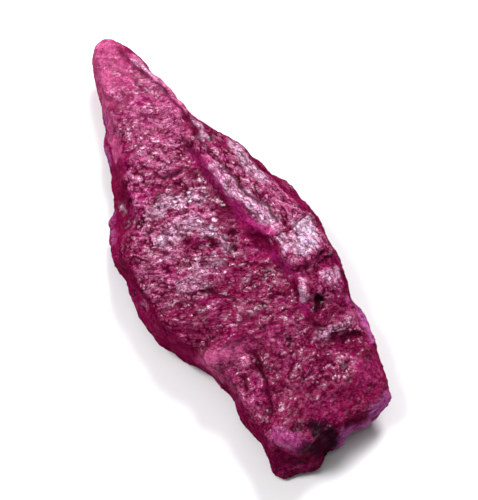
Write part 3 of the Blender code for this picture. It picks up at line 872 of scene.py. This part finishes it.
@dataclass
class Stone:
    """The crystal itself: the CAD solid's form with a fine, crinkled skin.

    Lengths are millimetres. Rises named up run over the upward part of the normals, and those
    named end or tip over the place along Y.
    """

    node: str = "crystal"
    body: str = "root"
    slot: str = "beryl"
    name: str = "beryl_stone"
    grain: float = 0.325                        # pitch of the even mesh
    passes: int = 8                             # smoothing passes that take the facets off
    fine_up: float = 0.40                       # upward part of a normal where the pitch is halved
    relief_up: Rise = Rise(0.05, 0.4)
    # faces that look up enough for frost, painted sheen and painted highlights
    sheen_up: Rise = Rise(0.35, 0.3)
    gloss_up: Rise = Rise(0.5, 0.3)
    flank_up: Rise = Rise(0.35, -0.3)
    calm_tip: Rise = Rise(13.0, 16.0)
    terrace_end: Rise = Rise(-17.0, 3.0)
    base_end: Rise = Rise(-13.0, -6.0)
    brow_side: Rise = Rise(-0.6, 1.2)           # over the distance past the step's brow
    crest_lie: Rise = Rise(-0.7, 1.2)           # over the lie of the folds
    # frost and painted sheen that the whole skin starts with
    least_frost_and_sheen: float = 0.22
    # painted shade on the steep flanks
    flank_wine_shade: float = 0.6
    tip_calm: float = 0.38
    veiled_gloss: float = 0.06                  # on plates that aren't clear
    flank_gloss: float = 0.08
    calm_dulling: float = 0.9
    feature_stray: float = 0.35                 # how far furrows and ledges leave their paths
    stain_stray: float = 0.5                    # how much further stains do
    crinkle_stray: float = 0.3
    swell_rise: float = 0.26
    swell_run: float = 2.6
    dimple_rise: float = 0.11
    dimple_run: float = 1.2
    finish: BerylFinish = field(default_factory=BerylFinish)

    def build(self) -> bpy.types.Object:
        """Make the stone's mesh from the CAD node, with its relief and its masks.

        Returns:
            The finished object, which stands for the CAD node.
        """
        stone = self.merged_copy()
        self.remesh(stone)
        self.refine(stone)
        self.carve(stone)
        stone.data.shade_smooth()
        stone.data.materials.append(self.finish.material())
        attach(stone, self.body)
        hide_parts(self.node)
        return stone

    def merged_copy(self) -> bpy.types.Object:
        """Copy the CAD node with its loose triangles joined.

        Returns:
            The copy, linked to the scene.
        """
        bm = bmesh.new()
        bm.from_mesh(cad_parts[self.node].data)
        bmesh.ops.remove_doubles(bm, verts=bm.verts, dist=0.001 * MM)
        mesh = bpy.data.meshes.new(self.name)
        bm.to_mesh(mesh)
        bm.free()
        stone = bpy.data.objects.new(self.name, mesh)
        bpy.context.scene.collection.objects.link(stone)
        return stone

    def remesh(self, stone: bpy.types.Object) -> None:
        """Give the stone an even mesh.

        Args:
            stone: The copy of the CAD node.
        """
        modifier = stone.modifiers.new("Even mesh", "REMESH")
        modifier.mode = "VOXEL"
        modifier.voxel_size = self.grain * MM
        graph = bpy.context.evaluated_depsgraph_get()
        mesh = bpy.data.meshes.new_from_object(stone.evaluated_get(graph))
        stone.modifiers.remove(modifier)
        stone.data = mesh
        mesh.name = self.name

    def refine(self, stone: bpy.types.Object) -> None:
        """Take the facets off, then halve the mesh's pitch where the stone faces up.

        Args:
            stone: The stone, with an even mesh.
        """
        bm = bmesh.new()
        bm.from_mesh(stone.data)
        axes = {"use_axis_x": True, "use_axis_y": True, "use_axis_z": True}
        for _ in range(self.passes):
            bmesh.ops.smooth_vert(bm, verts=bm.verts, factor=0.5, **axes)
            bmesh.ops.smooth_vert(bm, verts=bm.verts, factor=-0.5, **axes)
        bm.normal_update()
        fine = [edge for edge in bm.edges
                if any(face.normal.z > self.fine_up for face in edge.link_faces)]
        bmesh.ops.subdivide_edges(bm, edges=fine, cuts=1, use_grid_fill=True)
        bmesh.ops.smooth_vert(bm, verts=bm.verts, factor=0.5, **axes)
        bmesh.ops.triangulate(bm, faces=[face for face in bm.faces if len(face.verts) > 4])
        bm.to_mesh(stone.data)
        bm.free()

    def carve(self, stone: bpy.types.Object) -> None:
        """Move the skin along its normals by the relief and store the masks for the finish.

        Args:
            stone: The stone, with its fine mesh.
        """
        mesh = stone.data
        points, normals = self.skin(mesh)
        stray = wandering(points, 1.3, (7.0, 31.0, 57.0))
        bent = points + self.feature_stray * stray
        height, seam = self.features(points, bent, self.relief_up.share(normals[:, 2]))
        covers = self.covers(bent + self.stain_stray * stray, normals)
        crinkle, crease, crest_sheen, clear = self.crinkles(points, 1.0 - covers[Tint.CALM])
        height += crinkle
        moved = points + normals * height[:, None]
        moved[:, 2] = np.maximum(moved[:, 2], 0.0)
        mesh.vertices.foreach_set("co", (moved * MM).ravel())
        mesh.update()
        # gloss on clear plates of the top, a trace of it elsewhere, none in creases
        gloss = (1.0 - crease) * above(self.veiled_gloss, clear)
        gloss *= above(self.flank_gloss, self.gloss_up.share(normals[:, 2]))
        gloss *= 1.0 - self.calm_dulling * covers[Tint.CALM]
        masks = {"crease": crease, "crest_sheen": crest_sheen, "seam": seam, "gloss": gloss}
        masks |= {tint.value: cover for tint, cover in covers.items()}
        for name, values in masks.items():
            self.store(mesh, name, values)

    @staticmethod
    def features(points: Field, bent: Field, up: Field) -> tuple[Field, Field]:
        """Relief of the furrows, ledges and lumps.

        Args:
            points: Places on the skin, in millimetres.
            bent: The same places, moved a little so that furrows and ledges wander.
            up: Share of their full height that furrows and ledges have there.

        Returns:
            The height and how strong the painted shade in the furrows is.
        """
        height = np.zeros(len(points))
        seam = np.zeros(len(points))
        for feature in (*FURROWS, *LEDGES):
            height += feature.height(bent) * up
        for furrow in FURROWS:
            seam = np.maximum(seam, furrow.seam(bent) * up)
        for lump in LUMPS:
            height += lump.height(points)
        return height, seam

    def covers(self, points: Field, normals: Field) -> dict[Tint, Field]:
        """Share of each place that each tint covers.

        Args:
            points: Places on the skin, in millimetres.
            normals: The skin's normals there.

        Returns:
            A mask for each tint.
        """
        covers = {tint: np.zeros(len(points)) for tint in Tint}
        covers[Tint.FROST_AND_SHEEN] += self.least_frost_and_sheen
        # painted shade on the steep flanks
        covers[Tint.WINE_SHADE] += self.flank_wine_shade * self.flank_up.share(normals[:, 2])
        covers[Tint.CALM] += self.tip_calm * self.calm_tip.share(points[:, 1])
        for tint, stains in STAINS.items():
            for stain in stains:
                covers[tint] = np.maximum(covers[tint], stain.cover(points))
        # frost, painted sheen and painted highlights only on faces that look up
        for tint in (Tint.FROST_AND_SHEEN, Tint.MIST):
            covers[tint] *= self.sheen_up.share(normals[:, 2])
        return covers

    def crinkles(self, points: Field, strength: Field) -> tuple[Field, Field, Field, Field]:
        """Fine folds of the skin.

        Args:
            points: Places on the skin, in millimetres.
            strength: Share of the folds' full height there.

        Returns:
            The height of the folds, and the masks of their creases, of their crests that take painted
            sheen, and of their clear plates.
        """
        bent = points + self.crinkle_stray * wandering(points, 2.1, (3.0, 17.0, 29.0))
        brow = np.interp(points[:, 1], *BROW_LINE)
        terrace = self.brow_side.share(points[:, 0] - brow) * self.terrace_end.share(points[:, 1])
        base = self.base_end.share(points[:, 1]) * (1.0 - terrace)
        shares = (1.0 - terrace - base, terrace, base)
        height = np.zeros(len(points))
        folds = np.zeros(len(points))
        crease = np.zeros(len(points))
        clear = np.zeros(len(points))
        for kind, share in zip((FACE_CRINKLES, TERRACE_CRINKLES, BASE_CRINKLES), shares):
            here = share > 0.0
            lie, crack, glint = kind.folds(bent[here])
            folds[here] += share[here] * lie
            crease[here] += share[here] * crack
            clear[here] += share[here] * glint
            height[here] += share[here] * kind.rise * lie
        swells = self.swell_rise * noise_at(points / self.swell_run + 71.0)
        dimples = self.dimple_rise * noise_at(points / self.dimple_run + 77.0)
        height += swells + dimples
        crest_sheen = self.crest_lie.share(folds)
        return height * strength, crease * strength, crest_sheen, ramp(0.35 + 0.9 * clear)

    @staticmethod
    def skin(mesh: bpy.types.Mesh) -> tuple[Field, Field]:
        """Where a mesh's vertices are and which way they face.

        Args:
            mesh: The mesh.

        Returns:
            The places in millimetres and the normals, one row each.
        """
        points = np.empty(len(mesh.vertices) * 3)
        normals = np.empty(len(mesh.vertices) * 3)
        mesh.vertices.foreach_get("co", points)
        mesh.vertices.foreach_get("normal", normals)
        return points.reshape(-1, 3) / MM, normals.reshape(-1, 3)

    @staticmethod
    def store(mesh: bpy.types.Mesh, name: str, values: Field) -> None:
        """Keep one value a vertex as a point attribute."""
        made = mesh.attributes.new(name, "FLOAT", "POINT")
        made.data.foreach_set("value", np.clip(values, 0.0, 1.0).astype(np.float32))


# ---------------------------------------------------------------- the studio

# Breath of magenta in the light, and the green in the floor that keeps it white.
LIGHT_TINT: Colour = (1.0, 0.87, 1.0)
FLOOR_TINT: Colour = (0.84, 0.95, 0.84)


@dataclass(frozen=True)
class SoftBox:
    """A round soft lamp aimed at the stone. Its bearing points from the stone to the lamp."""

    name: str
    bearing: Place
    distance: float                 # metres
    width: float                    # metres
    radiance: float                 # watts a square metre and steradian

    def place(self, target: Vector) -> None:
        """Hang the lamp and aim it.

        Args:
            target: The point it is aimed at, in metres.
        """
        light = bpy.data.lights.new(self.name, "AREA")
        light.shape = "DISK"
        light.size = self.width
        light.energy = self.radiance * math.pi * math.pi * self.width ** 2 / 4.0
        light.color = LIGHT_TINT
        lamp = bpy.data.objects.new(self.name, light)
        bpy.context.scene.collection.objects.link(lamp)
        back = Vector(self.bearing).normalized()
        lamp.location = target + back * self.distance
        lamp.rotation_euler = back.to_track_quat("Z", "Y").to_euler()


@dataclass(frozen=True)
class Studio:
    """Pale floor, soft lamps, even sky and the camera."""

    target: Place = (2.25, -2.7, 7.0)
    azimuth: float = -31.5          # degrees from -Y towards +X
    elevation: float = 76.0         # degrees
    reach: float = 300.0            # millimetres from the target to the camera
    lens: float = 160.0             # millimetres
    sensor: float = 36.0            # millimetres
    sky: float = 0.04
    floor_size: float = 3.0         # metres from the floor's middle to its edge
    lamps: tuple[SoftBox, ...] = (
        SoftBox("key softbox", (0.46, 0.44, 0.77), 1.0, 0.30, 47.0),
        SoftBox("left softbox", (-0.34, 0.34, 0.88), 1.0, 0.30, 35.0),
        SoftBox("top softbox", (0.06, 0.16, 0.98), 1.0, 0.90, 1.8),
    )

    def build(self) -> None:
        """Set up everything round the stone."""
        self.make_floor()
        self.make_sky()
        for lamp in self.lamps:
            lamp.place(Vector(self.target) * MM)
        self.make_camera()
        bpy.context.scene.view_settings.view_transform = "Standard"

    def make_floor(self) -> None:
        """Lay the pale floor that the stone lies on."""
        bm = bmesh.new()
        bmesh.ops.create_grid(bm, x_segments=1, y_segments=1, size=self.floor_size)
        mesh = bpy.data.meshes.new("floor")
        bm.to_mesh(mesh)
        bm.free()
        floor = bpy.data.objects.new("floor", mesh)
        bpy.context.scene.collection.objects.link(floor)
        paper = bpy.data.materials.new("white paper")
        paper.use_nodes = True
        shader = paper.node_tree.nodes["Principled BSDF"]
        shader.inputs["Base Color"].default_value = (*FLOOR_TINT, 1.0)
        shader.inputs["Roughness"].default_value = 0.9
        mesh.materials.append(paper)

    def make_sky(self) -> None:
        """Weak, even light from all round."""
        world = bpy.data.worlds.new("studio")
        world.use_nodes = True
        sky = world.node_tree.nodes["Background"]
        sky.inputs["Color"].default_value = (*LIGHT_TINT, 1.0)
        sky.inputs["Strength"].default_value = self.sky
        bpy.context.scene.world = world

    def make_camera(self) -> None:
        """Look down on the stone."""
        turn = math.radians(self.azimuth)
        tilt = math.radians(self.elevation)
        back = Vector((math.sin(turn) * math.cos(tilt), -math.cos(turn) * math.cos(tilt),
                       math.sin(tilt)))
        data = bpy.data.cameras.new("camera")
        data.lens = self.lens
        data.sensor_width = self.sensor
        data.clip_start = 0.01
        camera = bpy.data.objects.new("camera", data)
        bpy.context.scene.collection.objects.link(camera)
        camera.location = (Vector(self.target) + back * self.reach) * MM
        camera.rotation_euler = back.to_track_quat("Z", "Y").to_euler()
        bpy.context.scene.camera = camera


def main() -> None:
    """Build the studio and the stone."""
    logging.basicConfig(level=logging.INFO, format="%(name)s: %(message)s")
    Studio().build()
    stone = Stone().build()
    triangles = sum(len(face.vertices) - 2 for face in stone.data.polygons)
    log.info("%s: %d triangles", stone.name, triangles)


if __name__ == "__main__":
    main()
